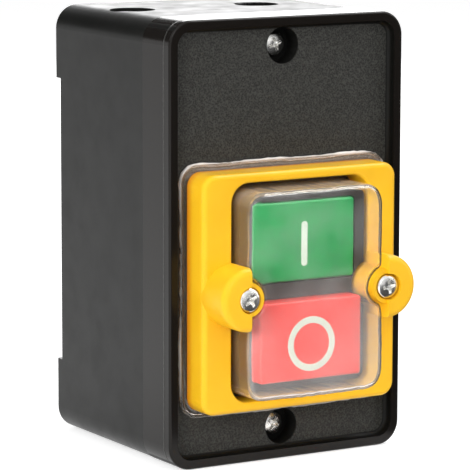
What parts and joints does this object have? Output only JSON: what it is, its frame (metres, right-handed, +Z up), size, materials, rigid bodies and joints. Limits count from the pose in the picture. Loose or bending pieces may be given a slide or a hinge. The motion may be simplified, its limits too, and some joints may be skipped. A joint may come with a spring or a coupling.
{
  "type": "enclosed push-button switch",
  "caption": "Enclosed machine switch: deep box, recessed cover, framed clear membrane over a green start button and a red stop button that latch each other.",
  "frame": {"origin": "bottom centre of the bounding box, on the surface that the switch stands on", "axes": "+Z up along the height, -Y out of the front with the buttons, +X to the right seen from the front"},
  "size_m": [0.076, 0.085, 0.125],
  "materials": {
    "black_case": "smooth, satin",
    "black_cover": "smooth rim, grained front panel",
    "gasket": "matt",
    "yellow": "satin moulded",
    "membrane": "clear soft film",
    "switch_black": "moulded",
    "switch_base": "moulded",
    "green": "satin moulded",
    "red": "satin moulded",
    "mark": "white insert",
    "rocker": "moulded",
    "carrier": "moulded",
    "steel": "plain",
    "spring_steel": "drawn wire",
    "zinc": "bright zinc plate",
    "brass": "stamped",
    "copper": "stamped copper with silver tips"
  },
  "bodies": {
    "case": {"rear_box": "black_case", "cover_gasket": "gasket", "front_cover": "black_cover", "cover_screw_top": "zinc", "cover_screw_bottom": "zinc", "bezel": "yellow", "bezel_screw_left": "zinc", "bezel_screw_right": "zinc", "membrane": "membrane", "switch_housing": "switch_black", "switch_base": "switch_base", "line_contact_1": "brass", "line_contact_2": "brass", "line_contact_3": "brass", "load_contact_1": "brass", "load_contact_2": "brass", "load_contact_3": "brass", "terminal_clamps": "steel", "terminal_screws": "steel", "body_screws": "steel", "earth_plate": "brass", "earth_screw": "zinc", "rocker_pin": "steel", "toggle_spring": "spring_steel"},
    "red": {"red_button": "red"},
    "green": {"green_button": "green", "contact_carrier": "carrier", "contact_bridge_1": "copper", "contact_bridge_2": "copper", "contact_bridge_3": "copper", "contact_spring_1": "spring_steel", "contact_spring_2": "spring_steel", "contact_spring_3": "spring_steel"},
    "rocker": {"rocker": "rocker"}
  },
  "joints": [
    {"name": "red_push", "type": "slide", "parent": "case", "child": "red", "axis": [0, 1, 0], "range_m": [0, 0.004]},
    {"name": "green_release", "type": "slide", "parent": "case", "child": "green", "axis": [0, -1, 0], "range_m": [0, 0.004]},
    {"name": "rocker_swing", "type": "hinge", "parent": "case", "child": "rocker", "pos_m": [0, -0.004, 0.0496], "axis": [1, 0, 0], "range_deg": [0, 16.85], "deforming": ["toggle_spring"]}
  ],
  "couplings": [
    {"joint": "green_release", "follows": "red_push", "ratio": 1},
    {"joint": "rocker_swing", "follows": "red_push", "rad_per_m": 73.526}
  ]
}
